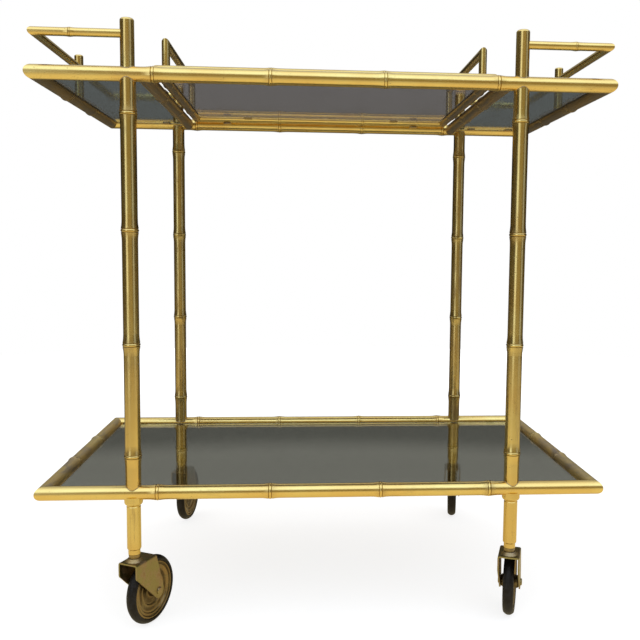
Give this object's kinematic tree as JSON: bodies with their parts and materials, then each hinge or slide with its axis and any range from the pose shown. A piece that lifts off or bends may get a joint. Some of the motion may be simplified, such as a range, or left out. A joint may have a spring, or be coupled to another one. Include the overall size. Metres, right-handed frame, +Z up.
{
  "type": "two-tier serving cart",
  "caption": "Two-tier brass serving cart in bamboo-ringed tube, with smoked glass shelves, end galleries, a lift-off tray with handles, and swivel casters.",
  "frame": {"origin": "middle of the footprint on the floor, under the middle of the bounding box", "axes": "+X to the cart's right, +Y to its back, where the casters trail, +Z up"},
  "size_m": [0.7102, 0.474, 0.7484],
  "materials": {
    "polished_brass": "polished, lightly tarnished",
    "aged_brass": "aged and dulled, brown to pink",
    "caster_brass": "worn plating, satin",
    "smoked_glass": "smoked, polished",
    "black_rubber": "matte, scuffed"
  },
  "bodies": {
    "frame": {"foot_front_left": "polished_brass", "foot_front_right": "polished_brass", "foot_rear_left": "polished_brass", "foot_rear_right": "polished_brass", "frame_tabs": "polished_brass", "gallery_posts": "polished_brass", "left_cross_tube": "polished_brass", "left_gallery_end_bars": "polished_brass", "left_gallery_side_bar": "polished_brass", "left_wing_glass": "smoked_glass", "leg_front_left": "polished_brass", "leg_front_right": "polished_brass", "leg_rear_left": "polished_brass", "leg_rear_right": "polished_brass", "lower_front_rail": "polished_brass", "lower_left_rail": "aged_brass", "lower_rear_rail": "polished_brass", "lower_right_rail": "aged_brass", "lower_shelf_glass": "smoked_glass", "right_cross_tube": "polished_brass", "right_gallery_end_bars": "polished_brass", "right_gallery_side_bar": "polished_brass", "right_wing_glass": "smoked_glass", "stub_front_left": "polished_brass", "stub_front_right": "polished_brass", "stub_rear_left": "polished_brass", "stub_rear_right": "polished_brass", "upper_front_rail": "polished_brass", "upper_left_rail": "polished_brass", "upper_rear_rail": "polished_brass", "upper_right_rail": "polished_brass"},
    "tray": {"handle_posts": "polished_brass", "left_handle_bar": "polished_brass", "right_handle_bar": "polished_brass", "tray_front_rail": "polished_brass", "tray_glass": "smoked_glass", "tray_left_rail": "polished_brass", "tray_rear_rail": "polished_brass", "tray_right_rail": "polished_brass", "tray_tabs": "polished_brass"},
    "caster_front_left": {"caster_stem_front_left": "caster_brass", "caster_fork_front_left": "caster_brass", "caster_axle_front_left": "caster_brass"},
    "wheel_front_left": {"wheel_disc_front_left": "caster_brass", "tyre_front_left": "black_rubber"},
    "caster_front_right": {"caster_stem_front_right": "caster_brass", "caster_fork_front_right": "caster_brass", "caster_axle_front_right": "caster_brass"},
    "wheel_front_right": {"wheel_disc_front_right": "caster_brass", "tyre_front_right": "black_rubber"},
    "caster_rear_left": {"caster_stem_rear_left": "caster_brass", "caster_fork_rear_left": "caster_brass", "caster_axle_rear_left": "caster_brass"},
    "wheel_rear_left": {"wheel_disc_rear_left": "caster_brass", "tyre_rear_left": "black_rubber"},
    "caster_rear_right": {"caster_stem_rear_right": "caster_brass", "caster_fork_rear_right": "caster_brass", "caster_axle_rear_right": "caster_brass"},
    "wheel_rear_right": {"wheel_disc_rear_right": "caster_brass", "tyre_rear_right": "black_rubber"}
  },
  "joints": [
    {"name": "tray_lift", "type": "slide", "parent": "frame", "child": "tray", "axis": [0, 0, 1], "range_m": [0, 0.25]},
    {"name": "swivel_front_left", "type": "hinge", "parent": "frame", "child": "caster_front_left", "pos_m": [-0.237, -0.21876, 0.1], "axis": [0, 0, 1], "continuous": true},
    {"name": "roll_front_left", "type": "hinge", "parent": "caster_front_left", "child": "wheel_front_left", "pos_m": [-0.22341, -0.1909, 0.043], "axis": [0.8988, -0.4384, 0], "continuous": true},
    {"name": "swivel_front_right", "type": "hinge", "parent": "frame", "child": "caster_front_right", "pos_m": [0.237, -0.21876, 0.1], "axis": [0, 0, 1], "continuous": true},
    {"name": "roll_front_right", "type": "hinge", "parent": "caster_front_right", "child": "wheel_front_right", "pos_m": [0.24709, -0.18945, 0.043], "axis": [0.9455, -0.3256, 0], "continuous": true},
    {"name": "swivel_rear_left", "type": "hinge", "parent": "frame", "child": "caster_rear_left", "pos_m": [-0.237, 0.16404, 0.1], "axis": [0, 0, 1], "continuous": true},
    {"name": "roll_rear_left", "type": "hinge", "parent": "caster_rear_left", "child": "wheel_rear_left", "pos_m": [-0.23108, 0.19447, 0.043], "axis": [0.9816, -0.1908, 0], "continuous": true},
    {"name": "swivel_rear_right", "type": "hinge", "parent": "frame", "child": "caster_rear_right", "pos_m": [0.237, 0.16404, 0.1], "axis": [0, 0, 1], "continuous": true},
    {"name": "roll_rear_right", "type": "hinge", "parent": "caster_rear_right", "child": "wheel_rear_right", "pos_m": [0.24238, 0.19457, 0.043], "axis": [0.9848, -0.1736, 0], "continuous": true}
  ]
}
